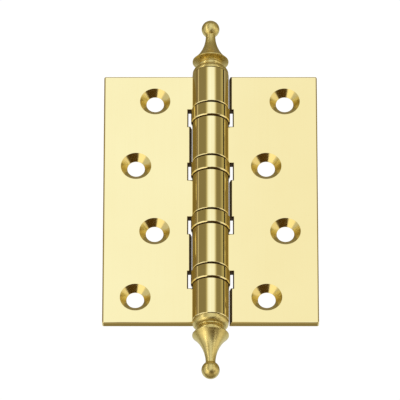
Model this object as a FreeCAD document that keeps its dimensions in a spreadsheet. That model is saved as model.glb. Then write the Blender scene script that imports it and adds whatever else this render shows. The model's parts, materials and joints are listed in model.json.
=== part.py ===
"""Ball-bearing butt hinge with ball-and-skirt finials, opened flat.

Frame: the pin's axis is Z, with the origin at its mid-height.  The fixed leaf lies on
the -X side and the swinging leaf on the +X side.  The countersunk faces look along -Y.
All lengths are in millimetres.
"""

import FreeCAD, Part
import math
import os
import re
import Sketcher

Vector = FreeCAD.Vector

# Driving dimensions.  Each becomes one aliased cell of the spreadsheet.
SIZES = {
    # leaves
    "leaf_height": 101.6,        # along the pin, all five knuckles and four bearings
    "leaf_width": 38.1,          # from the pin's axis to the outer edge
    "leaf_thickness": 2.5,
    "closed_gap": 1.6,           # between the leaves when they are folded shut
    "corner_radius": 0.5,        # the plates' outer corners
    "edge_break": 0.3,           # polished edge round the plate's front face
    "barrel_relief": 0.7,        # from a knuckle to the edge of the other leaf
    "notch_relief": 0.95,        # from a bearing to the notch beside it
    "notch_margin": 0.3,         # the notch's extra height above and below a bearing
    # screw holes
    "hole_radius": 3.1,
    "countersink_radius": 5.4,
    "countersink_angle": 90.0,
    "near_column": 19.8,         # from the pin's axis
    "far_column": 26.5,
    "outer_row": 40.35,          # from mid-height
    "inner_row": 13.45,
    # pin and knuckles
    "knuckle_length": 16.2,      # the three inner knuckles
    "knuckle_step": 0.45,        # the bearings stand this far out from the knuckles
    "knuckle_chamfer": 0.3,
    "pin_radius": 3.5,
    "pin_recess": 0.4,           # from a knuckle's end face down to the pin's end
    "pin_chamfer": 0.4,
    "running_clearance": 0.05,   # pin to the swinging knuckles, on the radius
    # thrust bearings, which set the barrel's thickness round the pin
    "bearing_height": 6.0,
    "race_bore_clearance": 0.15,
    "race_width": 2.4,           # the upper race, from its bore to its rim
    "race_slip": 0.2,            # from the upper race to the shell around it
    "shell_wall": 0.7,
    "shell_floor": 0.6,
    "shell_gap": 0.3,            # from the shell's rim to the knuckle above
    "shell_top_chamfer": 0.35,
    "shell_bottom_chamfer": 0.45,
    "ball_radius": 0.8,
    "ball_clearance": 0.08,
    "groove_depth": 0.25,
    "cage_thickness": 0.6,
    "cage_slip": 0.15,           # from the cage to the pin and to the shell
    "pocket_clearance": 0.08,
    # finials, heights counted outwards from the knuckle's end face
    "foot_step": 0.1,            # the foot is this much smaller than the knuckle
    "foot_height": 0.4,
    "dome_radius": 4.95,
    "dome_top": 2.4,
    "dome_curve": 2.0,
    "collar_top": 2.85,
    "bead_root": 4.2,
    "bead_bottom": 3.05,
    "bead_top": 4.45,
    "bead_curve": 0.85,
    "skirt_root_height": 4.75,
    "rim_step": 0.05,            # the skirt's rim is this much smaller than the knuckle
    "rim_bottom": 5.4,
    "rim_top": 5.7,
    "flare_curve": 15.0,
    "neck_radius": 1.72,
    "neck_top": 16.1,
    "ball_height": 19.4,         # the ball's centre
    "tip_radius": 3.2,
    # studs that hold the finials on the pin
    "stud_radius": 2.0,
    "stud_chamfer": 0.35,
    "stud_grip": 8.0,            # inside the pin
    "stud_reach": 7.0,           # inside the finial
    "tap_relief": 0.8,           # tapped hole beyond the stud's end
}
BALLS_PER_BEARING = 12
KNUCKLES = 5
BEARINGS = KNUCKLES - 1

# Radii of the barrel, counted outwards from the pin.
RACE_BORE = "(pin_radius + race_bore_clearance)"
UPPER_RACE_RADIUS = f"({RACE_BORE} + race_width)"
SHELL_BORE = f"({UPPER_RACE_RADIUS} + race_slip)"
SHELL_RADIUS = f"({SHELL_BORE} + shell_wall)"
KNUCKLE_RADIUS = f"({SHELL_RADIUS} - knuckle_step)"
SWING_BORE = "(pin_radius + running_clearance)"

# The plates' faces, which lie behind the pin's axis.
FRONT = "(closed_gap / 2)"
BACK = "(closed_gap / 2 + leaf_thickness)"

# Heights along the barrel.
PITCH = "(knuckle_length + bearing_height)"
TOP_END = "(leaf_height / 2)"
BOTTOM_END = "(-leaf_height / 2)"
PIN_END = "(leaf_height / 2 - pin_recess)"

OUTWARD, INWARD = -1, 1     # an arc's bulge on a section drawn up its outside
TOUCHING = 1e-4             # two places nearer than this are one
START_POINT, END_POINT, CENTRE_POINT = 1, 2, 3
ORIGIN = (-1, 1)            # the sketch's own origin, as geometry and point

doc = FreeCAD.newDocument("hinge")
nodes = []


def fill_sheet():
    """Put every driving dimension into its own aliased cell."""
    sheet = doc.addObject("Spreadsheet::Sheet", "sizes")
    for row, (alias, value) in enumerate(SIZES.items(), start=1):
        sheet.set(f"A{row}", alias)
        sheet.set(f"B{row}", str(value))
        sheet.setAlias(f"B{row}", alias)
    doc.recompute()


def bound(expression):
    """The expression with every driving dimension's name pointed at the sheet."""
    return re.sub(r"\b(" + "|".join(SIZES) + r")\b", r"sizes.\1", expression)


def value(owner, expression):
    """The expression's present value, as a plain number."""
    result = owner.evalExpression(bound(expression))
    return float(getattr(result, "Value", result))


def new_body(name):
    """An empty body that will be one node of the assembly."""
    body = doc.addObject("PartDesign::Body", name)
    body.Label = name
    nodes.append(body)
    return body


def new_sketch(body, name, role="XZ_Plane", offset="0"):
    """A sketch on one of the body's own origin planes, moved along its normal by offset."""
    plane = next(item for item in body.Origin.OriginFeatures if item.Role == role)
    sketch = body.newObject("Sketcher::SketchObject", name)
    sketch.AttachmentSupport = [(plane, "")]
    sketch.MapMode = "FlatFace"
    sketch.setExpression("AttachmentOffset.Base.z", bound(offset))
    doc.recompute()
    return sketch


def fix_point(sketch, geometry, end, x, y):
    """Hold one point of a line, arc or circle at (x, y), both given as expressions."""
    for kind, expression in (("DistanceX", x), ("DistanceY", y)):
        row = sketch.addConstraint(
            Sketcher.Constraint(kind, *ORIGIN, geometry, end, value(sketch, expression)))
        sketch.setExpression(f"Constraints[{row}]", bound(expression))


def fix_radius(sketch, geometry, radius):
    """Hold the radius of an arc or circle, given as an expression."""
    row = sketch.addConstraint(Sketcher.Constraint("Radius", geometry, value(sketch, radius)))
    sketch.setExpression(f"Constraints[{row}]", bound(radius))


def draw_circle(sketch, x, y, radius):
    """A circle whose centre and radius are expressions."""
    centre = Vector(value(sketch, x), value(sketch, y), 0)
    circle = sketch.addGeometry(Part.Circle(centre, Vector(0, 0, 1), value(sketch, radius)))
    fix_point(sketch, circle, CENTRE_POINT, x, y)
    fix_radius(sketch, circle, radius)


def draw_outline(sketch, points, arcs=None):
    """Close a loop through the points.

    arcs maps a point's index to (radius, side) for the arc that starts there; side +1
    bulges to the left of the way along the loop and -1 to the right.
    """
    arcs = arcs or {}
    places = [Vector(value(sketch, x), value(sketch, y), 0) for x, y in points]
    drawn = []
    for index, start in enumerate(places):
        end = places[(index + 1) % len(places)]
        if index not in arcs:
            drawn.append(sketch.addGeometry(Part.LineSegment(start, end)))
            continue
        radius, side = arcs[index]
        size = value(sketch, radius)
        chord = end - start
        left = Vector(-chord.y, chord.x, 0).normalize()
        rise = size - math.sqrt(size ** 2 - (chord.Length / 2) ** 2)
        middle = (start + end) / 2 + left * (side * rise)
        drawn.append(sketch.addGeometry(Part.Arc(start, middle, end)))
    for index, geometry in enumerate(drawn):
        corner = (index + 1) % len(points)
        leaving = nearer_end(sketch, geometry, places[corner])
        arriving = nearer_end(sketch, drawn[corner], places[corner])
        sketch.addConstraint(
            Sketcher.Constraint("Coincident", geometry, leaving, drawn[corner], arriving))
        fix_point(sketch, geometry, leaving, *points[corner])
        if index in arcs:
            fix_radius(sketch, geometry, arcs[index][0])


def nearer_end(sketch, geometry, place):
    """The end of a line or arc that lies at the place."""
    return min((START_POINT, END_POINT),
               key=lambda end: sketch.getPoint(geometry, end).distanceToPoint(place))


def revolve(body, name, loops):
    """Turn closed (radius, height) loops once round Z.  Each loop is (points, arcs)."""
    sketch = new_sketch(body, name + "_section")
    for points, arcs in loops:
        draw_outline(sketch, points, arcs)
    turned = body.newObject("PartDesign::Revolution", name)
    turned.Profile = sketch
    turned.ReferenceAxis = (sketch, ["V_Axis"])
    turned.Angle = 360
    doc.recompute()


def turned_piece(name, points, arcs=None, height="0", flipped=False):
    """A piece turned on a lathe, at the given height on Z, upside down if flipped."""
    body = new_body(name)
    revolve(body, name + "_turning", [(points, arcs)])
    if flipped:
        body.Placement = FreeCAD.Placement(Vector(), FreeCAD.Rotation(Vector(1, 0, 0), 180))
    body.setExpression("Placement.Base.z", bound(height))
    doc.recompute()
    return body


# ---------------------------------------------------------------- heights along the barrel

def knuckle_span(number):
    """Lower and upper height of a knuckle, counted from 1 at the top."""
    middle = f"({(KNUCKLES + 1) / 2 - number} * {PITCH})"
    low = BOTTOM_END if number == KNUCKLES else f"({middle} - knuckle_length / 2)"
    high = TOP_END if number == 1 else f"({middle} + knuckle_length / 2)"
    return low, high


def bearing_base(number):
    """Height of a bearing's lower face, counted from 1 at the top."""
    return f"({knuckle_span(number)[0]} - bearing_height)"


# ---------------------------------------------------------------- leaves

def plate_outline(side, own_knuckles):
    """Corners of a plate: straight outer edge, stepped inner edge beside the barrel.

    The plate runs into the walls of its own knuckles, stays clear of the other leaf's
    knuckles and is notched beside each bearing.
    """
    root = f"({side} * ({KNUCKLE_RADIUS} + pin_radius) / 2)"
    relief = f"({side} * ({KNUCKLE_RADIUS} + barrel_relief))"
    notch = f"({side} * ({SHELL_RADIUS} + notch_relief))"
    outer = f"({side} * leaf_width)"
    corners = [(outer, TOP_END)]
    for number in range(1, KNUCKLES + 1):
        low, high = knuckle_span(number)
        top = high if number == 1 else f"({high} - notch_margin)"
        bottom = low if number == KNUCKLES else f"({low} + notch_margin)"
        inner = root if number in own_knuckles else relief
        if number > 1:
            corners.append((notch, top))
        corners += [(inner, top), (inner, bottom)]
        if number < KNUCKLES:
            corners.append((notch, bottom))
    corners.append((outer, BOTTOM_END))
    return corners


def edges_where(shape, test):
    """Names of the shape's edges whose two ends both pass the test."""
    return [f"Edge{index}" for index, edge in enumerate(shape.Edges, start=1)
            if all(test(vertex.Point) for vertex in edge.Vertexes)]


def runs_through(edge):
    """True for a straight edge that runs through the plate's thickness."""
    first, last = edge.Vertexes[0].Point, edge.Vertexes[-1].Point
    return abs(first.y - last.y) > max(abs(first.x - last.x), abs(first.z - last.z))


def plate(body, side, own_knuckles):
    """The flat plate, with rounded outer corners and a broken edge round its front."""
    sketch = new_sketch(body, body.Name + "_outline", offset=f"-{BACK}")
    draw_outline(sketch, plate_outline(side, own_knuckles))
    pad = body.newObject("PartDesign::Pad", body.Name + "_plate")
    pad.Profile = sketch
    pad.setExpression("Length", bound("leaf_thickness"))
    doc.recompute()

    outer = value(body, f"{side} * leaf_width")
    at_outer_edge = edges_where(pad.Shape, lambda point: abs(point.x - outer) < TOUCHING)
    corners = body.newObject("PartDesign::Fillet", body.Name + "_corners")
    corners.Base = (pad, [name for name in at_outer_edge if runs_through(pad.Shape.getElement(name))])
    corners.setExpression("Radius", bound("corner_radius"))
    doc.recompute()

    front = value(body, FRONT)
    rim = body.newObject("PartDesign::Chamfer", body.Name + "_edge_break")
    rim.Base = (corners, edges_where(corners.Shape, lambda point: abs(point.y - front) < TOUCHING))
    rim.setExpression("Size", bound("edge_break"))
    doc.recompute()


def knuckle_section(number, bore):
    """Section of one knuckle: a thick tube with its outer end edges chamfered."""
    low, high = knuckle_span(number)
    shoulder = f"({KNUCKLE_RADIUS} - knuckle_chamfer)"
    return [(bore, low), (shoulder, low), (KNUCKLE_RADIUS, f"({low} + knuckle_chamfer)"),
            (KNUCKLE_RADIUS, f"({high} - knuckle_chamfer)"), (shoulder, high), (bore, high)]


def screw_holes(body, side, near_rows, far_rows):
    """Four countersunk holes, staggered in two columns, opening on the plate's front."""
    centres = new_sketch(body, body.Name + "_hole_centres", offset=f"-{FRONT}")
    for column, rows in (("near_column", near_rows), ("far_column", far_rows)):
        for row in rows:
            draw_circle(centres, f"({side} * {column})", row, "hole_radius")
    doc.recompute()
    before = body.Shape.Volume
    holes = body.newObject("PartDesign::Hole", body.Name + "_screw_holes")
    holes.Profile = centres
    doc.recompute()
    holes.DepthType = "ThroughAll"
    holes.setExpression("Diameter", bound("2 * hole_radius"))
    holes.HoleCutType = "Countersink"
    holes.HoleCutCustomValues = True
    holes.setExpression("HoleCutDiameter", bound("2 * countersink_radius"))
    holes.setExpression("HoleCutCountersinkAngle", bound("countersink_angle"))
    doc.recompute()
    if body.Shape.Volume >= before:
        raise RuntimeError(f"the screw holes of {body.Name} cut nothing")


def leaf(name, side, own_knuckles, bore, near_rows, far_rows):
    """One leaf: notched plate, its knuckles, and its screw holes, in one piece of brass."""
    body = new_body(name)
    plate(body, side, own_knuckles)
    revolve(body, name + "_knuckles", [(knuckle_section(number, bore), None) for number in own_knuckles])
    screw_holes(body, side, near_rows, far_rows)


# ---------------------------------------------------------------- pin, studs and finials

def hinge_pin():
    """Ground steel pin, tapped at both ends for the finials' studs."""
    tapped = f"({TOP_END} - stud_grip - tap_relief)"
    turned_piece("hinge_pin", [
        ("0", f"-{tapped}"), ("stud_radius", f"-{tapped}"), ("stud_radius", f"-{PIN_END}"),
        ("(pin_radius - pin_chamfer)", f"-{PIN_END}"),
        ("pin_radius", f"(pin_chamfer - {PIN_END})"),
        ("pin_radius", f"({PIN_END} - pin_chamfer)"),
        ("(pin_radius - pin_chamfer)", PIN_END),
        ("stud_radius", PIN_END), ("stud_radius", tapped), ("0", tapped)])


def finial(name, height, flipped):
    """Domed foot, collar, bead, flared skirt, slender neck and ball, in one turning."""
    tap_end = "(stud_reach + tap_relief)"
    ball_bottom = "(ball_height - sqrt(tip_radius ^ 2 - neck_radius ^ 2))"
    foot = f"({KNUCKLE_RADIUS} - foot_step)"
    rim = f"({KNUCKLE_RADIUS} - rim_step)"
    points = [
        ("stud_radius", "0"), (foot, "0"), (foot, "foot_height"),
        ("dome_radius", "dome_top"), ("dome_radius", "collar_top"),
        ("bead_root", "collar_top"), ("bead_root", "bead_bottom"), ("bead_root", "bead_top"),
        ("bead_root", "skirt_root_height"), (rim, "rim_bottom"), (rim, "rim_top"),
        ("neck_radius", "neck_top"), ("neck_radius", ball_bottom),
        ("0", "(ball_height + tip_radius)"), ("0", tap_end), ("stud_radius", tap_end)]
    arcs = {
        points.index((foot, "foot_height")): ("dome_curve", OUTWARD),
        points.index(("bead_root", "bead_bottom")): ("bead_curve", OUTWARD),
        points.index((rim, "rim_top")): ("flare_curve", INWARD),
        points.index(("neck_radius", ball_bottom)): ("tip_radius", OUTWARD)}
    turned_piece(name, points, arcs, height, flipped)


def stud(name, height, flipped):
    """Headless steel stud, half in the pin and half in the finial."""
    turned_piece(name, [
        ("0", "(-stud_grip)"), ("(stud_radius - stud_chamfer)", "(-stud_grip)"),
        ("stud_radius", "(stud_chamfer - stud_grip)"),
        ("stud_radius", "(stud_reach - stud_chamfer)"),
        ("(stud_radius - stud_chamfer)", "stud_reach"), ("0", "stud_reach")],
        None, height, flipped)


# ---------------------------------------------------------------- thrust bearings

BALL_CIRCLE = f"(({RACE_BORE} + {UPPER_RACE_RADIUS}) / 2)"
BALL_LEVEL = "(shell_floor + (bearing_height - shell_floor) / 2)"
FACE_OFFSET = "(ball_radius - groove_depth)"        # from the balls' centres to a race
GROOVE_RADIUS = "(ball_radius + ball_clearance)"
GROOVE_HALF_WIDTH = f"sqrt({GROOVE_RADIUS} ^ 2 - {FACE_OFFSET} ^ 2)"
FACING_UP, FACING_DOWN = 1, -1                      # the way a race's grooved face looks


def shell(name, base):
    """Brass shell: the ring seen from outside, with a floor that holds the lower race."""
    rim = "(bearing_height - shell_gap)"
    turned_piece(name, [
        (RACE_BORE, "0"), (f"({SHELL_RADIUS} - shell_bottom_chamfer)", "0"),
        (SHELL_RADIUS, "shell_bottom_chamfer"),
        (SHELL_RADIUS, f"({rim} - shell_top_chamfer)"),
        (f"({SHELL_RADIUS} - shell_top_chamfer)", rim), (SHELL_BORE, rim),
        (SHELL_BORE, "shell_floor"), (RACE_BORE, "shell_floor")], None, base)


def race(name, base, radius, plain_face, grooved_face, facing):
    """Hardened washer with a round-bottomed groove for the balls in one face."""
    groove_start = (f"({BALL_CIRCLE} + {GROOVE_HALF_WIDTH})", grooved_face)
    points = [
        (RACE_BORE, plain_face), (radius, plain_face), (radius, grooved_face), groove_start,
        (f"({BALL_CIRCLE} - {GROOVE_HALF_WIDTH})", grooved_face), (RACE_BORE, grooved_face)]
    turned_piece(name, points, {points.index(groove_start): (GROOVE_RADIUS, facing)}, base)


def cage(name, base):
    """Flat retainer ring with one round pocket for each ball."""
    low = f"({BALL_LEVEL} - cage_thickness / 2)"
    high = f"({BALL_LEVEL} + cage_thickness / 2)"
    inner, outer = "(pin_radius + cage_slip)", f"({SHELL_BORE} - cage_slip)"
    body = turned_piece(name, [(inner, low), (outer, low), (outer, high), (inner, high)], None, base)
    centre = new_sketch(body, name + "_pocket_centre", role="XY_Plane", offset=high)
    draw_circle(centre, BALL_CIRCLE, "0", "(ball_radius + pocket_clearance)")
    pocket = body.newObject("PartDesign::Pocket", name + "_pocket")
    pocket.Profile = centre
    pocket.setExpression("Length", bound("cage_thickness"))
    doc.recompute()
    ring = body.newObject("PartDesign::PolarPattern", name + "_pockets")
    ring.Originals = [pocket]
    ring.Axis = (centre, ["N_Axis"])
    ring.Angle = 360
    ring.Occurrences = BALLS_PER_BEARING
    body.Tip = ring
    doc.recompute()


def balls(name, base):
    """The bearing's loose balls, evenly spaced in the cage."""
    spheres = []
    for index in range(BALLS_PER_BEARING):
        sphere = doc.addObject("Part::Sphere", f"{name}_{index + 1}")
        sphere.setExpression("Radius", bound("ball_radius"))
        angle = 360 * index / BALLS_PER_BEARING
        sphere.setExpression("Placement.Base.x", bound(f"{BALL_CIRCLE} * cos({angle} deg)"))
        sphere.setExpression("Placement.Base.y", bound(f"{BALL_CIRCLE} * sin({angle} deg)"))
        sphere.setExpression("Placement.Base.z", bound(f"{base} + {BALL_LEVEL}"))
        spheres.append(sphere)
    group = doc.addObject("Part::Compound", name)
    group.Links = spheres
    group.Label = name
    nodes.append(group)


def bearing(number):
    """Shell and lower race on the knuckle below, upper race on the knuckle above."""
    base = bearing_base(number)
    prefix = f"bearing_{number}_"
    shell(prefix + "shell", base)
    race(prefix + "lower_race", base, SHELL_BORE, "shell_floor",
         f"({BALL_LEVEL} - {FACE_OFFSET})", FACING_UP)
    race(prefix + "upper_race", base, UPPER_RACE_RADIUS, "bearing_height",
         f"({BALL_LEVEL} + {FACE_OFFSET})", FACING_DOWN)
    cage(prefix + "cage", base)
    balls(prefix + "balls", base)


# ---------------------------------------------------------------- assembly

def check_document():
    """Stop if any object failed or any node's shape is missing or broken."""
    for item in doc.Objects:
        if any(word in state for state in item.State for word in ("Invalid", "Error")):
            raise RuntimeError(f"{item.Name} is {item.State}")
    for node in nodes:
        if node.Shape.isNull() or not node.Shape.isValid() or not node.Shape.Solids:
            raise RuntimeError(f"{node.Label} has no valid solid")


def main():
    """Build the hinge and write one STEP file for each node."""
    fill_sheet()
    first_and_third, second_and_fourth = ("outer_row", "(-inner_row)"), ("inner_row", "(-outer_row)")
    leaf("fixed_leaf", -1, (1, 3, 5), "pin_radius", first_and_third, second_and_fourth)
    leaf("swing_leaf", 1, (2, 4), SWING_BORE, second_and_fourth, first_and_third)
    hinge_pin()
    for end, height, flipped in (("top", TOP_END, False), ("bottom", BOTTOM_END, True)):
        finial("finial_" + end, height, flipped)
        stud("finial_stud_" + end, height, flipped)
    for number in range(1, BEARINGS + 1):
        bearing(number)
    doc.recompute()
    check_document()
    os.makedirs("parts", exist_ok=True)
    for node in nodes:
        node.Shape.exportStep(f"parts/{node.Label}.step")
    print(len(nodes), "nodes written")


main()
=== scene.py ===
"""Ball-bearing butt hinge in polished brass, with turned finials.

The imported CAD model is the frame.  The leaves, knuckles, bearing rings and finials that
show are smooth surfaces worked out here; the pin, studs and bearing insides stay as the
CAD has them and get materials.  Everything is in metres, in the CAD's own frame: the pin's
axis is Z, the origin is at its mid-height, and the countersunk faces look along -Y.
"""

import json
import math

import bpy
import numpy as np
from bpy.props import FloatProperty, FloatVectorProperty, PointerProperty
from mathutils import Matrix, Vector
from mathutils.geometry import tessellate_polygon

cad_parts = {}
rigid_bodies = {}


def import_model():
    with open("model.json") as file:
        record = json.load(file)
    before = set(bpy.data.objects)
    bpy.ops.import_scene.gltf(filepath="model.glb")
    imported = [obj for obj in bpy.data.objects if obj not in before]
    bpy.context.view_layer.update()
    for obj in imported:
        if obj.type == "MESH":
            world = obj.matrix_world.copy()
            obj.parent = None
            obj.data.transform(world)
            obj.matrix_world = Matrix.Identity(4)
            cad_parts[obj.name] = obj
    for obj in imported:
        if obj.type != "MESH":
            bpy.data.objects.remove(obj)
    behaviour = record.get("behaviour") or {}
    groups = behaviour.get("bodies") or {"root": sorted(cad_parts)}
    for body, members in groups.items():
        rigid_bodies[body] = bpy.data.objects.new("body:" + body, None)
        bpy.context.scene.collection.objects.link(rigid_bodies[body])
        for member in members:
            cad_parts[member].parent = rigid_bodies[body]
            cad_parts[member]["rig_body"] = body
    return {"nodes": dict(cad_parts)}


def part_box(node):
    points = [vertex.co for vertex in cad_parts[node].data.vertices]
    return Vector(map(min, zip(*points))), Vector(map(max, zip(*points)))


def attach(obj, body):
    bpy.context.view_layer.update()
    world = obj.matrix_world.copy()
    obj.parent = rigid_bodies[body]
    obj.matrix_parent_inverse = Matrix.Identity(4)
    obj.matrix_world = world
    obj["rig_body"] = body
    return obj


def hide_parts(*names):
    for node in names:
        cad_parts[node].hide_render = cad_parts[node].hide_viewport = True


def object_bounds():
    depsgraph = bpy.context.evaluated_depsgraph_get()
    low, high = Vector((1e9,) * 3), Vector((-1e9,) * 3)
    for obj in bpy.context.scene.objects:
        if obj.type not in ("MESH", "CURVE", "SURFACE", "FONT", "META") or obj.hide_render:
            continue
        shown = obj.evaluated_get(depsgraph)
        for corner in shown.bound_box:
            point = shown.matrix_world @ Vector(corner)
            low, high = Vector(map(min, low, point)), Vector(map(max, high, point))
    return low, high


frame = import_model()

bl_info = {
    "name": "Ball-bearing butt hinge",
    "version": (1, 0, 0),
    "blender": (4, 5, 0),
    "location": "View3D > Sidebar > Hinge",
    "description": "Builds a brass butt hinge with thrust bearings and turned finials",
    "category": "Object",
}

MM = 0.001
MICRON = 0.000001
CAD_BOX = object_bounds()

FIXED, SWING = "fixed_side", "swing_side"
BEARINGS = (1, 2, 3, 4)                 # numbered from the top
FIXED_KNUCKLES, SWING_KNUCKLES = (0, 2, 4), (1, 3)
ROUND_STEPS = 176                       # segments round the barrel
HOLE_STEPS = 96
SHARP_ANGLE = math.radians(38)          # edges sharper than this are shaded as edges
SUPPORT = 0.02 * MM                     # flat strip kept beside every rounded edge
# A plate's third material is painted shade: a brown strip on its inner edges beside the barrel.
CUT_CONE, PAINTED_SHADE_EDGE = 1, 2               # a plate's second and third materials
# Within this share of the knuckle's radius from the axis, a plate's inner edge takes the painted
# shade.
INNER_SHARE = 1.4                       # of the knuckle's radius: the plate's inner edge
BORE_EDGE = 0.06 * MM                   # rounding of a screw hole's edges
TURNED_EASE = 0.07 * MM                 # rounding of a finial's small steps
NECK_EASE = 0.15 * MM                   # rounding where a finial's ball meets its neck
NOISE_LOW, NOISE_HIGH = 0.3, 0.7        # between them lie most of a noise's values

FLOOR_HALF_WIDTH = 4.0
FLOOR_DROP = 0.2 * MM                   # from the lower finial's tip down to the floor
SURROUND_TONE, SURROUND_LEVEL = "#FFF0BF", 0.275    # what metal reflects between the panels
SOFT_LAMP_PLACE, SOFT_LAMP_WIDTH, SOFT_LAMP_WATTS = (-1.3, -1.4, 2.2), 1.6, 25.0
STRIP_WIDTH, STRIP_HEIGHT, STRIP_DISTANCE = 0.22, 4.0, 1.5
LEFT_STRIP_AZIMUTH, RIGHT_STRIP_AZIMUTH = -52, 46   # degrees
SENSOR_WIDTH = 36.0                     # millimetres

LEAF_LOW, LEAF_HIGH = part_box("fixed_leaf")
SHELL_LOWS = [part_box(f"bearing_{number}_shell")[0] for number in BEARINGS]
SHELL_HIGHS = [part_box(f"bearing_{number}_shell")[1] for number in BEARINGS]


# ------------------------------------------------------------------ settings

def length(label, text, millimetres):
    """A length setting, given here in millimetres and kept in metres."""
    return FloatProperty(name=label, description=text, default=millimetres * MM,
                         unit="LENGTH", precision=5, min=0.0)


def colour(label, text, hex_colour):
    """A colour setting, given here as an sRGB hex value."""
    return FloatVectorProperty(name=label, description=text, subtype="COLOR", size=4,
                               min=0.0, max=1.0, default=linear(hex_colour))


def linear(hex_colour):
    """An sRGB hex colour as linear red, green, blue and alpha."""
    coded = np.array([int(hex_colour[i:i + 2], 16) for i in (1, 3, 5)]) / 255
    light = np.where(coded <= 0.04045, coded / 12.92, ((coded + 0.055) / 1.055) ** 2.4)
    return (*light.tolist(), 1.0)


class HingeLeafSettings(bpy.types.PropertyGroup):
    """Sizes of the two plates and their screw holes."""

    closed_gap: length("Closed gap", "Between the leaves when they are shut", 1.6)
    thickness: length("Thickness", "Of each plate", 2.5)
    corner: length("Corner radius", "Of the plates' outer corners", 0.65)
    front_round: length("Front edge", "Rounding that polishing gives the front edges", 0.55)
    back_round: length("Back edge", "Rounding of the back edges", 0.12)
    relief: length("Barrel relief", "From a knuckle to the other plate's edge", 0.7)
    notch_relief: length("Notch relief", "From a bearing to the notch beside it", 0.95)
    hollow: length("Hollow", "How much further the plate reaches at its back", 0.6)
    notch_margin: length("Notch margin", "Height a notch has beyond its bearing", 0.3)
    hole: length("Hole radius", "Of the screw holes", 3.1)
    countersink: length("Countersink radius", "At the plate's front", 5.4)
    near_column: length("Near column", "Holes' distance from the pin's axis", 19.8)
    far_column: length("Far column", "Holes' distance from the pin's axis", 26.5)
    outer_row: length("Outer rows", "Holes' height above and below the middle", 40.35)
    inner_row: length("Inner rows", "Holes' height above and below the middle", 13.45)


class HingeBarrelSettings(bpy.types.PropertyGroup):
    """Sizes of the knuckles and of the bearings' rings."""

    pin: length("Pin radius", "Of the hinge pin", 3.5)
    clearance: length("Clearance", "From the pin to a swinging knuckle's bore", 0.05)
    chamfer: length("Knuckle chamfer", "At the ends of each knuckle", 0.3)
    roll: length("Knuckle roll", "Rounding that buffing gives the knuckles' ends", 0.42)
    # Painted shade: a knuckle's end turns brown from this far in from its outside.
    painted_shade_inset: length("Knuckle mop depth", "How far round a knuckle's end it's polished", 0.14)
    # Painted shade: a ring's base turns brown from this far in from its outside.
    ring_painted_shade_inset: length("Ring mop depth", "How far round a ring's base it's polished", 0.26)
    edge: length("Edge rounding", "Of the machined edges", 0.07)
    ring_gap: length("Ring gap", "From a ring's rim to the knuckle above", 0.3)
    ring_bore: length("Ring bore", "Inside of a ring's wall", 6.25)
    ring_floor: length("Ring floor", "Thickness of a ring's floor", 0.6)
    ring_hole: length("Floor hole", "Radius of the hole in a ring's floor", 3.65)
    ring_top: length("Top chamfer", "Of a ring's rim", 0.6)
    ring_bottom: length("Bottom chamfer", "Of a ring's base", 0.45)
    ring_roll: length("Bottom roll", "Rounding between a ring's side and its base", 0.5)


class HingeFinialSettings(bpy.types.PropertyGroup):
    """Sizes of the finials, heights counted outwards from the end knuckle's face."""

    stud: length("Stud radius", "Of the tapped hole", 2.0)
    tap_depth: length("Tapped depth", "Of the stud's hole", 7.8)
    foot: length("Foot radius", "Where the finial stands on the knuckle", 6.4)
    foot_height: length("Foot height", "Straight part of the foot", 0.4)
    dome: length("Dome radius", "At the top of the dome", 4.95)
    dome_top: length("Dome top", "Height of the dome", 2.4)
    dome_curve: length("Dome curve", "Radius of the dome's section", 2.0)
    collar_top: length("Collar top", "Height of the collar", 2.85)
    root: length("Bead root", "Radius of the groove at the bead", 4.2)
    bead_bottom: length("Bead bottom", "Height where the bead starts", 3.05)
    bead_top: length("Bead top", "Height where the bead ends", 4.45)
    bead_curve: length("Bead curve", "Radius of the bead's section", 0.85)
    skirt_root: length("Skirt root", "Height where the skirt starts", 4.75)
    rim: length("Rim radius", "Of the skirt", 6.45)
    rim_bottom: length("Rim bottom", "Lower edge of the skirt's rim", 5.4)
    rim_top: length("Rim top", "Upper edge of the skirt's rim", 5.7)
    flare: length("Flare curve", "Radius of the hollow flare's section", 15.0)
    neck: length("Neck radius", "Under the ball", 1.72)
    neck_top: length("Neck top", "Height where the flare ends", 16.1)
    ball_height: length("Ball height", "Of the ball's centre", 19.4)
    ball: length("Ball radius", "Of the ball at the tip", 3.2)


class HingeFinishSettings(bpy.types.PropertyGroup):
    """Colours of the finishes."""

    plate: colour("Plates", "Mirror-polished brass", "#EFDB9B")
    plate_tone: colour("Plates' second tone", "Where the polish is a little warmer", "#EBD593")
    barrel: colour("Barrel", "Drawn and buffed brass", "#F5E7AD")
    ring: colour("Rings", "Buffed brass of the bearing rings", "#E8D28D")
    bore: colour("Countersinks", "Brass cut by the countersink", "#E8CF86")
    # Painted shade: the brown laid in the gaps beside the barrel, at the knuckles' ends and under
    # the rings.
    painted_shade_brown: colour("Inner edges", "Unbuffed brass beside the barrel", "#664A22")
    # Painted shade: the near-black of the races and the brown's darker tone, for the shade in the
    # gaps.
    painted_shade_dark: colour("Races", "Oil-blacked steel", "#33302C")
    turned: colour("Finials", "Turned and satin-buffed brass", "#DDCB86")
    turned_tone: colour("Finials' second tone", "Darker turning lines", "#C8B067")
    steel: colour("Bearing steel", "Hardened and ground", "#B5B5B8")
    pin: colour("Pin steel", "Centreless-ground", "#A5A5A9")
    cage: colour("Cages", "Stamped brass", "#CDB068")
    floor: colour("Floor", "Plain pale floor", "#F4F4F2")


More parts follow.
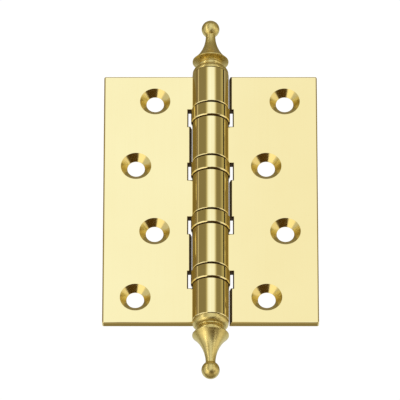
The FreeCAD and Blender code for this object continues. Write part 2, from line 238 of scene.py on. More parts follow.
class HingeStudioSettings(bpy.types.PropertyGroup):
    """Where the camera stands and how bright the studio is."""

    distance: FloatProperty(name="Camera distance", description="From the pin's mid-height",
                            default=2.368, unit="LENGTH", min=0.5)
    elevation: FloatProperty(name="Camera elevation", description="Above the horizon",
                             default=math.radians(-30.7), subtype="ANGLE")
    lens: FloatProperty(name="Lens", description="Focal length in millimetres",
                        default=601.0, min=50.0)
    shift_x: FloatProperty(name="Shift across", description="Framing, share of the width",
                           default=-0.0264)
    shift_y: FloatProperty(name="Shift up", description="Framing, share of the width",
                           default=-0.007)
    left_strip: FloatProperty(name="Left strip", description="Watts, on the finials only",
                              default=9.0, min=0.0)
    right_strip: FloatProperty(name="Right strip", description="Watts, on the finials only",
                               default=5.0, min=0.0)
    glow: FloatProperty(name="Surround", description="Strength of the white surround",
                        default=1.04, min=0.0)


class HingeSettings(bpy.types.PropertyGroup):
    """All of the hinge's settings."""

    leaf: PointerProperty(type=HingeLeafSettings, name="Leaves", description="Plate sizes")
    barrel: PointerProperty(type=HingeBarrelSettings, name="Barrel", description="Barrel sizes")
    finial: PointerProperty(type=HingeFinialSettings, name="Finials", description="Finial sizes")
    finish: PointerProperty(type=HingeFinishSettings, name="Finish", description="Colours")
    studio: PointerProperty(type=HingeStudioSettings, name="Studio", description="Camera and light")


# ------------------------------------------------------------------ flat lines and sections

def unit(vectors):
    """The vectors at length one."""
    return vectors / np.maximum(np.linalg.norm(vectors, axis=-1, keepdims=True), 1e-15)


def eased(points, radii, steps=4, support=SUPPORT):
    """A flat line with its corners rounded.

    Each corner with a radius becomes a circular arc tangent to both of its sides: the
    arc's points are the weighted sum, by sines, of the two radii that end it.  A support
    point is kept on each side just beyond the arc.  A point with radius 0 stays.  The
    line is taken as closed; an open line's end points have radius 0.
    """
    corner = np.asarray(points, float)
    radius = np.asarray(radii, float)[:, None]
    before = unit(np.roll(corner, 1, 0) - corner)
    after = unit(np.roll(corner, -1, 0) - corner)
    opening = np.arccos(np.clip((before * after).sum(1, keepdims=True), -1.0, 1.0))
    half = np.clip(opening / 2, 1e-3, math.pi / 2 - 1e-3)
    reach = radius / np.tan(half)
    centre = corner + unit(before + after) * radius / np.sin(half)
    sweep = (math.pi - 2 * half)[:, None]
    share = np.linspace(0.0, 1.0, steps + 1)[None, :, None]
    first = (corner + before * reach - centre)[:, None]
    last = (corner + after * reach - centre)[:, None]
    arc = centre[:, None] + (np.sin((1 - share) * sweep) * first
                             + np.sin(share * sweep) * last) / np.sin(sweep)
    rows = np.concatenate([(corner + before * (reach + support))[:, None], arc,
                           (corner + after * (reach + support))[:, None]], 1)
    rounded = radius[:, 0] > 0
    rows[~rounded] = corner[~rounded][:, None]
    keep = np.repeat(rounded[:, None], steps + 3, 1)
    keep[:, 0] = True
    return rows[keep]


def bow(start, stop, radius, side, count):
    """Points strictly between two ends on a circle through both.

    The circle's centre lies on the perpendicular through the middle, on the side that
    makes the line bulge to the right of start-to-stop when side is 1 and to the left
    when it is -1.  The points divide the angle between the two ends evenly.
    """
    start, stop = np.asarray(start, float), np.asarray(stop, float)
    chord = stop - start
    across = np.array([chord[1], -chord[0]]) / np.linalg.norm(chord)
    height = math.sqrt(max(radius ** 2 - (np.linalg.norm(chord) / 2) ** 2, 0.0))
    centre = (start + stop) / 2 - side * across * height
    first = math.atan2(*(start - centre)[::-1])
    turn = math.atan2(*(stop - centre)[::-1]) - first
    turn = (turn + math.pi) % (2 * math.pi) - math.pi
    angle = first + turn * np.linspace(0.0, 1.0, count + 2)[1:-1]
    return centre + radius * np.stack([np.cos(angle), np.sin(angle)], 1)


def signed_area(path):
    """Area inside a closed flat line, positive when it runs anticlockwise."""
    following = np.roll(path, -1, 0)
    return 0.5 * (path[:, 0] * following[:, 1] - following[:, 0] * path[:, 1]).sum()


def left_miters(path):
    """For each point of a closed flat line, the move that shifts both of its sides one
    unit to the left: the sum of their left normals over one plus the normals' product."""
    step = unit(np.roll(path, -1, 0) - path)
    after = np.stack([-step[:, 1], step[:, 0]], 1)
    before = np.roll(after, 1, 0)
    return (before + after) / (1 + (before * after).sum(1, keepdims=True))


# ------------------------------------------------------------------ surfaces

def grid_quads(rows, columns, close_rows):
    """Corner numbers of the quads of a grid whose columns run all the way round."""
    index = np.arange(rows * columns).reshape(rows, columns)
    low = index if close_rows else index[:-1]
    high = np.roll(index, -1, 0) if close_rows else index[1:]
    return np.stack([low, np.roll(low, -1, 1), np.roll(high, -1, 1), high], -1).reshape(-1, 4)


def turned_surface(section, closed):
    """A section turned about the Z axis.

    A point at radius r and height h of the section, and angle a, is at
    (r cos a, r sin a, h).  A closed section makes a ring.  An open one starts and ends on
    the axis, where one point closes it with a fan of triangles.  The section runs
    upwards along the outside, so the faces look outwards.
    """
    body = section if closed else section[1:-1]
    angle = np.linspace(0.0, 2 * math.pi, ROUND_STEPS, endpoint=False)
    radius, height = body[:, :1], body[:, 1:]
    points = np.stack([radius * np.cos(angle), radius * np.sin(angle),
                       height + 0 * angle], -1).reshape(-1, 3)
    quads = grid_quads(len(body), ROUND_STEPS, closed)
    if closed:
        return points, quads, np.zeros((0, 3), int)
    poles = np.array([[0.0, 0.0, section[0, 1]], [0.0, 0.0, section[-1, 1]]])
    first, last = len(points), len(points) + 1
    low = np.arange(ROUND_STEPS)
    high = low + (len(body) - 1) * ROUND_STEPS
    fans = np.concatenate([
        np.stack([np.full_like(low, first), np.roll(low, -1), low], 1),
        np.stack([high, np.roll(high, -1), np.full_like(high, last)], 1)])
    return np.concatenate([points, poles]), quads, fans


def carried(path, section):
    """A section carried round a closed flat line in the plate's plane.

    A point of the section is an inset and a depth: it lies the inset to the left of the
    line, where the metal is, and the depth back along Y.
    """
    flat = path[None] + section[:, :1, None] * left_miters(path)[None]
    depth = np.broadcast_to(section[:, 1:], flat.shape[:2])
    return np.stack([flat[..., 0], depth, flat[..., 1]], -1)


def flat_fill(rings, numbers, clockwise):
    """Triangles that fill the flat between an outline and the holes in it.

    The filling is done in millimetres, because it merges points a few micrometres apart.
    """
    lines = [np.insert(ring[:, (0, 2)] / MM, 2, 0.0, axis=1) for ring in rings]
    corners = np.array(tessellate_polygon(lines))
    flat = np.concatenate([ring[:, (0, 2)] for ring in rings])
    a, b, c = (flat[corners[:, k]] for k in range(3))
    area = ((b - a)[:, 0] * (c - a)[:, 1] - (b - a)[:, 1] * (c - a)[:, 0]) / 2
    wrong = (area < 0) != clockwise
    corners[wrong] = corners[wrong][:, ::-1]
    expected = abs(sum(signed_area(ring[:, (0, 2)]) for ring in rings))
    if abs(np.abs(area).sum() - expected) > 1e-3 * expected:
        raise RuntimeError("the plate's flat face was not filled")
    return np.concatenate(numbers)[corners]


def put_mesh(name, points, faces, body, replaces, materials, kinds):
    """One piece from its points and faces, smooth but for its sharp edges.

    kinds has each face's place in materials.
    """
    mesh = bpy.data.meshes.new(name)
    mesh.from_pydata(points.tolist(), [], faces)
    for material in materials:
        mesh.materials.append(material)
    mesh.polygons.foreach_set("material_index", np.asarray(kinds, np.int32))
    if mesh.validate():
        raise RuntimeError(f"{name} has faces that are not sound")
    mesh.shade_smooth()
    mesh.set_sharp_from_angle(angle=SHARP_ANGLE)
    mesh.update()
    piece = bpy.data.objects.new(name, mesh)
    bpy.context.scene.collection.objects.link(piece)
    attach(piece, body)
    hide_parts(*replaces)
    return piece


def put_turnings(name, sections, closed, body, replaces, materials, within=0.0,
                 below=math.inf):
    """One piece made of turned sections that share the axis.

    Faces nearer to the axis than within, and lower than below above the section's foot,
    take the second material.
    """
    points, faces, kinds, start = [], [], [], 0
    for section in sections:
        corners, quads, fans = turned_surface(np.asarray(section), closed)
        points.append(corners)
        away = np.hypot(corners[:, 0], corners[:, 1])[quads].max(1)
        height = corners[:, 2][quads].max(1) - corners[:, 2].min()
        kinds += ((away < within) & (height < below)).astype(int).tolist() + [0] * len(fans)
        faces += (quads + start).tolist() + (fans + start).tolist()
        start += len(corners)
    return put_mesh(name, np.concatenate(points), faces, body, replaces, materials, kinds)


# ------------------------------------------------------------------ materials

def add(tree, kind, inputs=None, **settings):
    """Add one node with its settings; an input is a value or another node's output."""
    node = tree.nodes.new(kind)
    for key, value in settings.items():
        setattr(node, key, value)
    for socket, value in (inputs or {}).items():
        if isinstance(value, bpy.types.NodeSocket):
            tree.links.new(value, node.inputs[socket])
        else:
            node.inputs[socket].default_value = value
    return node


def stretched_noise(tree, vector, size, detail=3.0):
    """Noise whose grain is size millimetres along each of X, Y and Z."""
    scale = tuple(1 / (value * MM) for value in size)
    mapping = add(tree, "ShaderNodeMapping", {"Vector": vector, "Scale": scale})
    noise = add(tree, "ShaderNodeTexNoise", {"Vector": mapping.outputs["Vector"], "Scale": 1.0,
                                             "Detail": detail, "Roughness": 0.55})
    return noise.outputs["Fac"]


def metal(name, tones, rough, colour_grain, mark_grain, mark_depth, wave=None,
          round_axis=False, by_hole=False):
    """A metal with two close tones, fine marks in its roughness and relief.

    colour_grain and mark_grain are grain sizes in millimetres; mark_depth is the relief's
    depth in micrometres.  rough is the roughness at the marks' low and high ends.  wave is
    the size and depth of a long, shallow unevenness.  With round_axis the marks run round
    the Z axis, as a lathe leaves them; with by_hole they run round the nearest screw hole.
    """
    material = bpy.data.materials.new(name)
    material.use_nodes = True
    tree = material.node_tree
    tree.nodes.clear()
    place = add(tree, "ShaderNodeTexCoord").outputs["Object"]
    marks_at = place
    if round_axis:
        flat = add(tree, "ShaderNodeVectorMath", {0: place, 1: (1.0, 1.0, 0.0)},
                   operation="MULTIPLY")
        away = add(tree, "ShaderNodeVectorMath", {0: flat.outputs["Vector"]}, operation="LENGTH")
        parts = add(tree, "ShaderNodeSeparateXYZ", {"Vector": place})
        marks_at = add(tree, "ShaderNodeCombineXYZ", {
            "X": away.outputs["Value"], "Y": 0.0, "Z": parts.outputs["Z"]}).outputs["Vector"]
    if by_hole:
        away = add(tree, "ShaderNodeAttribute", attribute_name="from_hole")
        marks_at = add(tree, "ShaderNodeCombineXYZ", {
            "X": away.outputs["Fac"], "Y": 0.0, "Z": 0.0}).outputs["Vector"]
    tone = stretched_noise(tree, place, colour_grain)
    tint = add(tree, "ShaderNodeMix", {"Factor": tone, "A": tones[0], "B": tones[1]},
               data_type="RGBA")
    marks = stretched_noise(tree, marks_at, mark_grain, 4.0)
    gloss = add(tree, "ShaderNodeMapRange", {
        "Value": marks, "From Min": NOISE_LOW, "From Max": NOISE_HIGH,
        "To Min": rough[0], "To Max": rough[1]})
    relief = add(tree, "ShaderNodeBump", {"Height": marks, "Strength": 1.0,
                                          "Distance": mark_depth * MICRON})
    normal = relief.outputs["Normal"]
    if wave is not None:
        sway = stretched_noise(tree, place, (wave[0],) * 3, 1.0)
        normal = add(tree, "ShaderNodeBump", {"Height": sway, "Strength": 1.0, "Normal": normal,
                                              "Distance": wave[1] * MICRON}).outputs["Normal"]
    shader = add(tree, "ShaderNodeBsdfPrincipled", {
        "Base Color": tint.outputs["Result"], "Metallic": 1.0,
        "Roughness": gloss.outputs["Result"], "Normal": normal})
    add(tree, "ShaderNodeOutputMaterial", {"Surface": shader.outputs["BSDF"]})
    return material


def painted_shade_brass(name):
    """Brown, dull brass as painted shade, laid where shade falls: in the gaps beside the barrel, at
    the knuckles' ends and under the rings.
    """
    finish = bpy.context.scene.hinge.finish
    return metal(name, (finish.painted_shade_brown, finish.painted_shade_dark), rough=(0.4, 0.55), colour_grain=(2, 2, 2),
                 mark_grain=(0.4, 0.4, 0.4), mark_depth=3.0)


# ------------------------------------------------------------------ leaves

def knuckle_spans():
    """Lowest and highest height of each knuckle, from the top one down."""
    gap = bpy.context.scene.hinge.barrel.ring_gap
    highs = [LEAF_HIGH.z] + [low.z for low in SHELL_LOWS]
    lows = [high.z + gap for high in SHELL_HIGHS] + [LEAF_LOW.z]
    return list(zip(lows, highs))


def plate_path(side, own):
    """Outline of a plate: straight outer edge, stepped inner edge beside the barrel."""
    sizes, barrel = bpy.context.scene.hinge.leaf, bpy.context.scene.hinge.barrel
    knuckle_radius, ring_radius = LEAF_HIGH.y, SHELL_HIGHS[0].x
    root = (knuckle_radius + barrel.pin) / 2
    relief = knuckle_radius + sizes.relief
    notch = ring_radius + sizes.notch_relief
    outer = -LEAF_LOW.x
    corners = [(outer, LEAF_HIGH.z)]
    spans = knuckle_spans()
    for number, (low, high) in enumerate(spans):
        top = high if number == 0 else high - sizes.notch_margin
        bottom = low if number == len(spans) - 1 else low + sizes.notch_margin
        inner = root if number in own else relief
        if number > 0:
            corners.append((notch, top))
        corners += [(inner, top), (inner, bottom)]
        if number < len(spans) - 1:
            corners.append((notch, bottom))
    corners.append((outer, LEAF_LOW.z))
    path = np.array(corners) * (side, 1)
    radii = np.zeros(len(path))
    radii[[0, -1]] = sizes.corner
    path = eased(path, radii, steps=8, support=sizes.corner / 4)
    return path if signed_area(path) > 0 else path[::-1]


def hollowed(strip):
    """A plate's rim with its inner edges hollowed, to follow the barrel they pass.

    A point there at depth y moves towards the axis by the hollow times y squared less the
    front's depth squared, over the same difference at the back, which is close to a
    circle round the axis.
    """
    sizes = bpy.context.scene.hinge.leaf
    front, back = sizes.closed_gap / 2, sizes.closed_gap / 2 + sizes.thickness
    middle = (LEAF_HIGH.y + sizes.relief + SHELL_HIGHS[0].x + sizes.notch_relief) / 2
    across = np.abs(strip[0, :, 0] - sizes.front_round * np.sign(strip[0, :, 0]))
    beside = (across > LEAF_HIGH.y) & (across < middle)
    depth = np.maximum(strip[..., 1], front)
    share = (depth ** 2 - front ** 2) / (back ** 2 - front ** 2)
    moved = strip.copy()
    moved[..., 0] -= np.sign(strip[..., 0]) * beside * sizes.hollow * share
    return moved


def hole_centres(side, near_rows, far_rows):
    """Centres of a plate's four screw holes."""
    sizes = bpy.context.scene.hinge.leaf
    columns = np.repeat([sizes.near_column, sizes.far_column], [len(near_rows), len(far_rows)])
    return np.stack([side * columns, np.array(list(near_rows) + list(far_rows))], 1)


def put_plate(name, side, own, near_rows, far_rows, body, node, materials):
    """One plate with rounded edges and countersunk holes.

    The rim and each hole are sections carried round the outline and round circles; the
    flats between them are filled with triangles that share the sections' first and last
    rows.  Each point also keeps its distance from the nearest hole's axis.
    """
    sizes = bpy.context.scene.hinge.leaf
    front, back = sizes.closed_gap / 2, sizes.closed_gap / 2 + sizes.thickness
    inset = sizes.front_round + 2 * SUPPORT
    rim = eased([(inset, front), (0, front), (0, back), (inset, back)],
                [0, sizes.front_round, sizes.back_round, 0], steps=6)
    cone = sizes.countersink - sizes.hole
    lead = 3 * BORE_EDGE
    bore = eased([(cone + lead, front), (cone, front), (0, front + cone), (0, back),
                  (lead, back)], [0, BORE_EDGE, BORE_EDGE, BORE_EDGE, 0], steps=4)
    centres = hole_centres(side, near_rows, far_rows)
    angle = -np.linspace(0.0, 2 * math.pi, HOLE_STEPS, endpoint=False)
    circle = sizes.hole * np.stack([np.cos(angle), np.sin(angle)], 1)
    strips = [hollowed(carried(plate_path(side, own), rim))]
    strips += [carried(circle + centre, bore) for centre in centres]

    points, faces, kinds, fronts, backs, start = [], [], [], [], [], 0
    for strip in strips:
        rows, columns = strip.shape[:2]
        quads = grid_quads(rows, columns, False)[:, ::-1] + start
        depth = ((strip[:-1, :, 1] + strip[1:, :, 1]) / 2) > front + BORE_EDGE / 3
        if strip is strips[0]:
            # The inner edges beside the barrel take the painted shade.
            beside = np.abs(strip[0, :, 0]) < LEAF_HIGH.y * INNER_SHARE
            kind = PAINTED_SHADE_EDGE * (depth & beside & np.roll(beside, -1))
        else:
            kind = CUT_CONE * (depth & (strip[:-1, :, 1] < front + cone - BORE_EDGE))
        kinds += kind.ravel().tolist()
        faces += quads.tolist()
        points.append(strip.reshape(-1, 3))
        fronts.append(start + np.arange(columns))
        backs.append(start + (rows - 1) * columns + np.arange(columns))
        start += rows * columns
    fills = np.concatenate([flat_fill([strip[0] for strip in strips], fronts, False),
                            flat_fill([strip[-1] for strip in strips], backs, True)])
    points = np.concatenate(points)
    piece = put_mesh(name, points, faces + fills.tolist(), body, [node], materials,
                     kinds + [0] * len(fills))
    away = np.linalg.norm(points[:, None, (0, 2)] - centres[None], axis=2).min(1)
    mark = piece.data.attributes.new("from_hole", "FLOAT", "POINT")
    mark.data.foreach_set("value", away.astype(np.float32))
    return piece


class HINGE_OT_plates(bpy.types.Operator):
    """Builds both plates, with their edges, notches and countersunk holes."""

    bl_idname = "hinge.plates"
    bl_label = "Plates"

    def execute(self, context):
        finish, sizes = context.scene.hinge.finish, context.scene.hinge.leaf
        # Brass plate, ground and buffed on a mop to a mirror: clean reflections with a
        # slow waver, and the faintest lengthwise haze.
        polished = metal("brass_plate_mirror_buffed", (finish.plate, finish.plate_tone),
                         rough=(0.045, 0.075), colour_grain=(30, 30, 30),
                         mark_grain=(0.5, 0.5, 25), mark_depth=0.05, wave=(16, 3.0))
        # The same brass as the countersink leaves it: fine rings round the hole, duller
        # and more golden than the buffed face.
        cut = metal("brass_countersunk_machined", (finish.bore, finish.turned),
                    rough=(0.11, 0.2), colour_grain=(3, 3, 3), mark_grain=(0.22, 1, 1),
                    mark_depth=6.0, by_hole=True)
        # The sawn inner edges beside the barrel: brown painted shade, so a dark line of shade edges
        # the gap.
        painted_shade_brown = painted_shade_brass("brass_edge_painted_shade")
        inner, outer = sizes.inner_row, sizes.outer_row
        put_plate("fixed_leaf_plate", -1, FIXED_KNUCKLES, (outer, -inner), (inner, -outer),
                  FIXED, "fixed_leaf", [polished, cut, painted_shade_brown])
        put_plate("swing_leaf_plate", 1, SWING_KNUCKLES, (inner, -outer), (outer, -inner),
                  SWING, "swing_leaf", [polished, cut, painted_shade_brown])
        return {"FINISHED"}


# ------------------------------------------------------------------ barrel

def knuckle_section(low, high, bore):
    """Section of one knuckle: a thick tube with chamfered ends and eased edges."""
    sizes = bpy.context.scene.hinge.barrel
    radius, cut = LEAF_HIGH.y, sizes.chamfer
    corners = [(bore, low), (radius - cut, low), (radius, low + cut), (radius, high - cut),
               (radius - cut, high), (bore, high)]
    rounds = [sizes.edge] + [sizes.roll] * 4 + [sizes.edge]
    return eased(corners, rounds, 6)


class HINGE_OT_knuckles(bpy.types.Operator):
    """Builds the five knuckles, three on the fixed leaf and two on the swinging one."""

    bl_idname = "hinge.knuckles"
    bl_label = "Knuckles"

    def execute(self, context):
        finish, sizes = context.scene.hinge.finish, context.scene.hinge.barrel
        # Brass rod, drawn and then buffed lengthwise: crisp streaks of light along the
        # barrel, with hair-fine lines that run its way.
        drawn = metal("brass_barrel_drawn_buffed", (finish.barrel, finish.plate_tone),
                      rough=(0.05, 0.085), colour_grain=(12, 12, 30),
                      mark_grain=(0.35, 0.35, 18), mark_depth=0.12, wave=(9, 1.2))
        # The ends of the knuckles: brown painted shade, so a thin dark line of shade parts them
        # from the rings.
        painted_shade_brown = painted_shade_brass("brass_knuckle_end_painted_shade")
        spans = knuckle_spans()
        for name, own, body, node, bore in (
                ("fixed_leaf_knuckles", FIXED_KNUCKLES, FIXED, "fixed_leaf", sizes.pin),
                ("swing_leaf_knuckles", SWING_KNUCKLES, SWING, "swing_leaf",
                 sizes.pin + sizes.clearance)):
            sections = [knuckle_section(*spans[number], bore) for number in own]
            put_turnings(name, sections, True, body, [node], [drawn, painted_shade_brown],
                         within=LEAF_HIGH.y - sizes.painted_shade_inset)
        return {"FINISHED"}


class HINGE_OT_bearing_rings(bpy.types.Operator):
    """Builds the four brass rings that hold the thrust bearings."""

    bl_idname = "hinge.bearing_rings"
    bl_label = "Bearing rings"

    def execute(self, context):
        finish, sizes = context.scene.hinge.finish, context.scene.hinge.barrel
        # Brass cup, turned and buffed: mirror-like with the faint rings of the lathe.
        buffed = metal("brass_ring_turned_buffed", (finish.ring, finish.barrel),
                       rough=(0.05, 0.1), colour_grain=(8, 8, 8),
                       mark_grain=(0.3, 1, 0.3), mark_depth=0.25, round_axis=True)
        # The rings' undersides: brown painted shade, a dark line of shade under each ring.
        painted_shade_brown = painted_shade_brass("brass_ring_base_painted_shade")
        for number, low, high in zip(BEARINGS, SHELL_LOWS, SHELL_HIGHS):
            base, rim, radius = low.z, high.z, high.y
            corners = [(sizes.ring_hole, base), (radius - sizes.ring_bottom, base),
                       (radius, base + sizes.ring_bottom), (radius, rim - sizes.ring_top),
                       (radius - sizes.ring_top, rim), (sizes.ring_bore, rim),
                       (sizes.ring_bore, base + sizes.ring_floor),
                       (sizes.ring_hole, base + sizes.ring_floor)]
            node = f"bearing_{number}_shell"
            body = frame["nodes"][node]["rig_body"]
            rounds = [sizes.edge] + [sizes.ring_roll] * 2 + [sizes.edge] * 5
            put_turnings(f"bearing_{number}_ring", [eased(corners, rounds, 6)], True,
                         body, [node], [buffed, painted_shade_brown],
                         within=radius - sizes.ring_painted_shade_inset,
                         below=sizes.ring_bottom + sizes.edge)
        return {"FINISHED"}


# ------------------------------------------------------------------ finials

def finial_section():
    """Section of a finial, from the bottom of its tapped hole round to its tip."""
    s = bpy.context.scene.hinge.finial
    ball_bottom = s.ball_height - math.sqrt(s.ball ** 2 - s.neck ** 2)
    fine = TURNED_EASE
    line = [((0, s.tap_depth), 0), ((s.stud, s.tap_depth), fine), ((s.stud, 0), fine),
            ((s.foot, 0), fine), ((s.foot, s.foot_height), fine)]
    line += [(point, 0) for point in bow((s.foot, s.foot_height), (s.dome, s.dome_top),
                                         s.dome_curve, 1, 7)]
    line += [((s.dome, s.dome_top), fine), ((s.dome, s.collar_top), fine),
             ((s.root, s.collar_top), fine), ((s.root, s.bead_bottom), fine)]
    line += [(point, 0) for point in bow((s.root, s.bead_bottom), (s.root, s.bead_top),
                                         s.bead_curve, 1, 9)]
    line += [((s.root, s.bead_top), fine), ((s.root, s.skirt_root), fine),
             ((s.rim, s.rim_bottom), NECK_EASE / 2), ((s.rim, s.rim_top), NECK_EASE / 2)]
    line += [(point, 0) for point in bow((s.rim, s.rim_top), (s.neck, s.neck_top),
                                         s.flare, -1, 28)]
    line += [((s.neck, s.neck_top), 0), ((s.neck, ball_bottom), NECK_EASE)]
    line += [(point, 0) for point in bow((s.neck, ball_bottom), (0, s.ball_height + s.ball),
                                         s.ball, 1, 30)]
    line += [((0, s.ball_height + s.ball), 0)]
    return eased([point for point, _ in line], [radius for _, radius in line])


class HINGE_OT_finials(bpy.types.Operator):
    """Builds the two turned finials."""

    bl_idname = "hinge.finials"
    bl_label = "Finials"

    def execute(self, context):
        finish = context.scene.hinge.finish
        # Brass turned on a lathe and satin-buffed: soft golden highlights broken by fine
        # rings.  The rings are drawn about twice as coarse as real ones, so they show.
        satin = metal("brass_finial_turned_satin", (finish.turned, finish.turned_tone),
                      rough=(0.3, 0.4), colour_grain=(9, 9, 5), mark_grain=(0.5, 1, 0.5),
                      mark_depth=4.0, round_axis=True)
        section = finial_section()
        upright = section + (0, LEAF_HIGH.z)
        hanging = (section * (1, -1) + (0, LEAF_LOW.z))[::-1]
        for node, line in (("finial_top", upright), ("finial_bottom", hanging)):
            put_turnings(node + "_turning", [line], False, FIXED, [node], [satin])
        return {"FINISHED"}


# ------------------------------------------------------------------ parts kept from the CAD

class HINGE_OT_inner_parts(bpy.types.Operator):
    """Gives the pin, the studs and the bearings' insides their materials."""

    bl_idname = "hinge.inner_parts"
    bl_label = "Pin and bearing insides"

    def execute(self, context):
        finish = context.scene.hinge.finish
        # Centreless-ground steel: grey, with fine rings and a soft sheen.
        ground = metal("steel_pin_ground", (finish.pin, finish.steel), rough=(0.2, 0.3),
                       colour_grain=(5, 5, 5), mark_grain=(0.3, 1, 0.3), mark_depth=0.5,
                       round_axis=True)
        # Hardened bearing steel, ground and lapped: bright and nearly mirror-like.
        lapped = metal("steel_bearing_lapped", (finish.steel, finish.pin), rough=(0.08, 0.14),
                       colour_grain=(3, 3, 3), mark_grain=(0.2, 1, 0.2), mark_depth=0.2,
                       round_axis=True)
        # The races, dark steel as painted shade: a thin dark line of shade in the gap above each
        # ring.
        race_painted_shade = metal("steel_race_painted_shade", (finish.painted_shade_dark, finish.painted_shade_brown),
                        rough=(0.35, 0.45), colour_grain=(3, 3, 3), mark_grain=(0.2, 1, 0.2),
                        mark_depth=0.3, round_axis=True)
        # Brass sheet, stamped: flat, a little dull, with a random fine grain.
        stamped = metal("brass_cage_stamped", (finish.cage, finish.turned_tone),
                        rough=(0.28, 0.4), colour_grain=(2, 2, 2), mark_grain=(0.3, 0.3, 0.3),
                        mark_depth=1.0)
        kinds = {"cage": stamped, "balls": lapped, "race": race_painted_shade, "pin": ground, "stud": ground}
        for name, node in frame["nodes"].items():
            if node.hide_render:
                continue
            found = [material for word, material in kinds.items() if word in name]
            if not found:
                raise RuntimeError(f"{name} has no finish")
            node.data.materials.clear()
            node.data.materials.append(found[0])
        return {"FINISHED"}


# ------------------------------------------------------------------ stage

# Soft panels round the hinge, laid one over another: middle azimuth, half width, lowest
# and highest elevation, softness of the edge (all in degrees), sRGB colour, strength.
# Azimuth 0 is in front of the countersunk faces and 90 is to their right.
PANELS = (
    ("ceiling", 0, 180, 66, 90, 8, "#FFF6E0", 0.4),
    ("back panel", 180, 62, -24, 20, 7, "#F2FAFF", 0.95),
    ("floor's glow", 0, 180, -90, -64, 8, "#FFF4D8", 0.55),
    ("low left panel", -68, 32, -40, 16, 7, "#F6FAFF", 0.8),
    ("low right panel", 58, 22, -22, 16, 7, "#F6FAFF", 0.8),
    ("low right end panel", 84, 26, -50, 16, 9, "#FFFAEC", 1.1),
    ("right wing", 80, 10, 12, 50, 20, "#FFF4BE", 0.52),
    ("right edge wing", 103, 6, 12, 50, 4, "#FFF4DC", 0.5),
    ("left edge wing", -84, 4.5, 12, 50, 3, "#FFF4DC", 0.62),
    ("left dark line", -96, 5, 12, 50, 4, "#FFDAA6", 0.17),
    ("right dark line", 91, 4.5, 12, 50, 3, "#3A2A18", 0.1),
    ("key's warm rim", 4, 30, -36, 52, 16, "#FFF4C2", 0.66),
    ("key softbox", 4.5, 22.5, -34, 50, 18, "#E7EFFF", 1.36),
    ("key's near strip", -1.1, 1.2, -34, 50, 0.8, "#DAE6FF", 1.62),
    ("low front left", -55, 36, -63, -24, 10, "#FFFAEC", 1.4),
    ("low front dark", 16, 44, -68, -47, 12, "#7A5C2E", 0.45),
    ("low right dark", 36, 33, -52, -24, 9, "#7A5C2E", 0.4),
)


def lit(hex_colour, strength):
    """A colour of light at a strength."""
    return [channel * strength for channel in linear(hex_colour)[:3]] + [1.0]


def sky_panel(tree, azimuth, elevation, under, panel):
    """Lays one soft panel over what is already there and returns the new colour."""
    _, centre, half_width, low, high, soft, hex_colour, strength = panel
    sides = []
    for angle, middle, half in ((azimuth, centre, half_width),
                                (elevation, (low + high) / 2, (high - low) / 2)):
        offset = add(tree, "ShaderNodeMath", {0: angle, 1: math.radians(middle)},
                     operation="SUBTRACT")
        turn = add(tree, "ShaderNodeMath", {0: offset.outputs[0], 1: math.pi, 2: -math.pi},
                   operation="WRAP")
        size = add(tree, "ShaderNodeMath", {0: turn.outputs[0]}, operation="ABSOLUTE")
        sides.append(add(tree, "ShaderNodeMapRange", {
            "Value": size.outputs[0], "From Min": math.radians(half + soft / 2),
            "From Max": math.radians(half - soft / 2), "To Min": 0.0, "To Max": 1.0},
            interpolation_type="SMOOTHSTEP").outputs["Result"])
    cover = add(tree, "ShaderNodeMath", {0: sides[0], 1: sides[1]}, operation="MULTIPLY")
    return add(tree, "ShaderNodeMix", {"Factor": cover.outputs[0], "A": under,
                                        "B": lit(hex_colour, strength)},
               data_type="RGBA").outputs["Result"]


def build_world(glow):
    """A white surround, with soft panels that only mirror-like surfaces see."""
    world = bpy.data.worlds.new("studio")
    bpy.context.scene.world = world
    world.use_nodes = True
    world.cycles.sampling_method = "NONE"
    tree = world.node_tree
    tree.nodes.clear()
    direction = add(tree, "ShaderNodeTexCoord").outputs["Generated"]
    parts = add(tree, "ShaderNodeSeparateXYZ", {"Vector": direction})
    forward = add(tree, "ShaderNodeMath", {0: parts.outputs["Y"], 1: -1.0}, operation="MULTIPLY")
    azimuth = add(tree, "ShaderNodeMath", {0: parts.outputs["X"], 1: forward.outputs[0]},
                  operation="ARCTAN2").outputs[0]
    elevation = add(tree, "ShaderNodeMath", {0: parts.outputs["Z"]}, operation="ARCSINE").outputs[0]
    sky = lit(SURROUND_TONE, SURROUND_LEVEL)
    for panel in PANELS:
        sky = sky_panel(tree, azimuth, elevation, sky, panel)
    rays = add(tree, "ShaderNodeLightPath")
    seen = add(tree, "ShaderNodeMix", {"Factor": rays.outputs["Is Glossy Ray"],
                                       "A": (glow, glow, glow, 1.0), "B": sky}, data_type="RGBA")
    shader = add(tree, "ShaderNodeBackground", {"Color": seen.outputs["Result"], "Strength": 1.0})
    add(tree, "ShaderNodeOutputWorld", {"Surface": shader.outputs["Background"]})


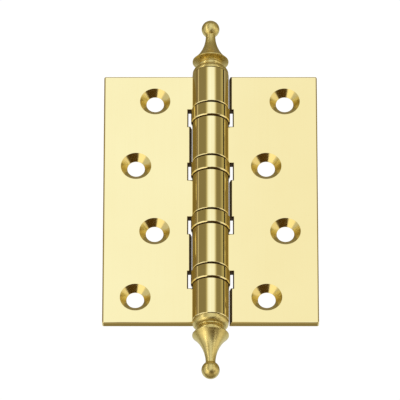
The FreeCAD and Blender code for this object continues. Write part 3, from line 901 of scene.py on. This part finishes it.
def build_floor(floor_colour):
    """A wide pale floor just under the lower finial, clear when seen from below."""
    half, height = FLOOR_HALF_WIDTH, CAD_BOX[0].z - FLOOR_DROP
    mesh = bpy.data.meshes.new("floor")
    mesh.from_pydata([(-half, -half, height), (half, -half, height), (half, half, height),
                      (-half, half, height)], [], [(0, 1, 2, 3)])
    # Matt paper sweep: an even pale tone that takes a soft shadow.
    material = bpy.data.materials.new("paper_floor_matt")
    material.use_nodes = True
    tree = material.node_tree
    tree.nodes.clear()
    place = add(tree, "ShaderNodeTexCoord").outputs["Object"]
    grain = stretched_noise(tree, place, (90, 90, 90))
    shade = add(tree, "ShaderNodeMapRange", {"Value": grain, "To Min": 0.86, "To Max": 0.92})
    paper = add(tree, "ShaderNodeBsdfPrincipled", {"Base Color": floor_colour,
                                                   "Roughness": shade.outputs["Result"],
                                                   "Specular IOR Level": 0.0})
    clear = add(tree, "ShaderNodeBsdfTransparent")
    side = add(tree, "ShaderNodeNewGeometry")
    both = add(tree, "ShaderNodeMixShader", {0: side.outputs["Backfacing"],
                                             1: paper.outputs["BSDF"],
                                             2: clear.outputs["BSDF"]})
    add(tree, "ShaderNodeOutputMaterial", {"Surface": both.outputs["Shader"]})
    mesh.materials.append(material)
    floor = bpy.data.objects.new("floor", mesh)
    bpy.context.scene.collection.objects.link(floor)
    floor.visible_glossy = False


def aimed(place):
    """The rotation that points a lamp or a camera at the hinge's middle."""
    return (-place).to_track_quat("-Z", "Y").to_euler()


def put_lamp(name, shape, width, height, watts, place, turn):
    """Adds one area lamp."""
    lamp = bpy.data.lights.new(name, "AREA")
    lamp.shape = shape
    lamp.size, lamp.size_y = width, height
    lamp.energy = watts
    holder = bpy.data.objects.new(name, lamp)
    holder.location = place
    holder.rotation_euler = turn
    bpy.context.scene.collection.objects.link(holder)
    return holder


class HINGE_OT_stage(bpy.types.Operator):
    """Sets up the floor, the studio's light and the camera."""

    bl_idname = "hinge.stage"
    bl_label = "Stage"

    def execute(self, context):
        scene, studio = context.scene, context.scene.hinge.studio
        scene.view_settings.view_transform = "Standard"
        build_world(studio.glow)
        build_floor(scene.hinge.finish.floor)

        place = Vector(SOFT_LAMP_PLACE)
        soft = put_lamp("soft_lamp", "DISK", SOFT_LAMP_WIDTH, SOFT_LAMP_WIDTH, SOFT_LAMP_WATTS,
                        place, aimed(place))
        soft.visible_glossy = False

        finials = bpy.data.collections.new("finials")
        for name in ("finial_top_turning", "finial_bottom_turning"):
            finials.objects.link(bpy.data.objects[name])
        for name, azimuth, watts in (("left_strip", LEFT_STRIP_AZIMUTH, studio.left_strip),
                                     ("right_strip", RIGHT_STRIP_AZIMUTH, studio.right_strip)):
            turn = math.radians(azimuth)
            place = STRIP_DISTANCE * Vector((math.sin(turn), -math.cos(turn), 0.0))
            strip = put_lamp(name, "RECTANGLE", STRIP_WIDTH, STRIP_HEIGHT, watts, place,
                             (math.pi / 2, 0.0, turn))
            strip.light_linking.receiver_collection = finials

        lens = bpy.data.cameras.new("camera")
        lens.lens, lens.sensor_width = studio.lens, SENSOR_WIDTH
        lens.shift_x, lens.shift_y = studio.shift_x, studio.shift_y
        lens.clip_start, lens.clip_end = 0.1, 50.0
        camera = bpy.data.objects.new("camera", lens)
        camera.location = studio.distance * Vector((
            0.0, -math.cos(studio.elevation), math.sin(studio.elevation)))
        camera.rotation_euler = aimed(camera.location)
        scene.collection.objects.link(camera)
        scene.camera = camera
        return {"FINISHED"}


# ------------------------------------------------------------------ panel and run

class HINGE_PT_panel(bpy.types.Panel):
    """Lists the steps that build the hinge, and their settings."""

    bl_idname = "HINGE_PT_panel"
    bl_label = "Butt hinge"
    bl_space_type = "VIEW_3D"
    bl_region_type = "UI"
    bl_category = "Hinge"

    def draw(self, context):
        for operator in OPERATORS:
            self.layout.operator(operator.bl_idname)
        settings = context.scene.hinge
        for group in (settings.leaf, settings.barrel, settings.finial, settings.finish,
                      settings.studio):
            box = self.layout.box()
            for name in group.__annotations__:
                box.prop(group, name)


GROUPS = (HingeLeafSettings, HingeBarrelSettings, HingeFinialSettings, HingeFinishSettings,
          HingeStudioSettings, HingeSettings)
OPERATORS = (HINGE_OT_plates, HINGE_OT_knuckles, HINGE_OT_bearing_rings, HINGE_OT_finials,
             HINGE_OT_inner_parts, HINGE_OT_stage)


def register():
    """Registers the settings, the operators and the panel."""
    for kind in (*GROUPS, *OPERATORS, HINGE_PT_panel):
        bpy.utils.register_class(kind)
    bpy.types.Scene.hinge = PointerProperty(type=HingeSettings, name="Hinge",
                                            description="The hinge's settings")


def unregister():
    """Removes what register() added."""
    del bpy.types.Scene.hinge
    for kind in reversed((*GROUPS, *OPERATORS, HINGE_PT_panel)):
        bpy.utils.unregister_class(kind)


def main():
    """Builds the whole scene."""
    register()
    bpy.ops.hinge.plates()
    bpy.ops.hinge.knuckles()
    bpy.ops.hinge.bearing_rings()
    bpy.ops.hinge.finials()
    bpy.ops.hinge.inner_parts()
    bpy.ops.hinge.stage()


if __name__ == "__main__":
    main()
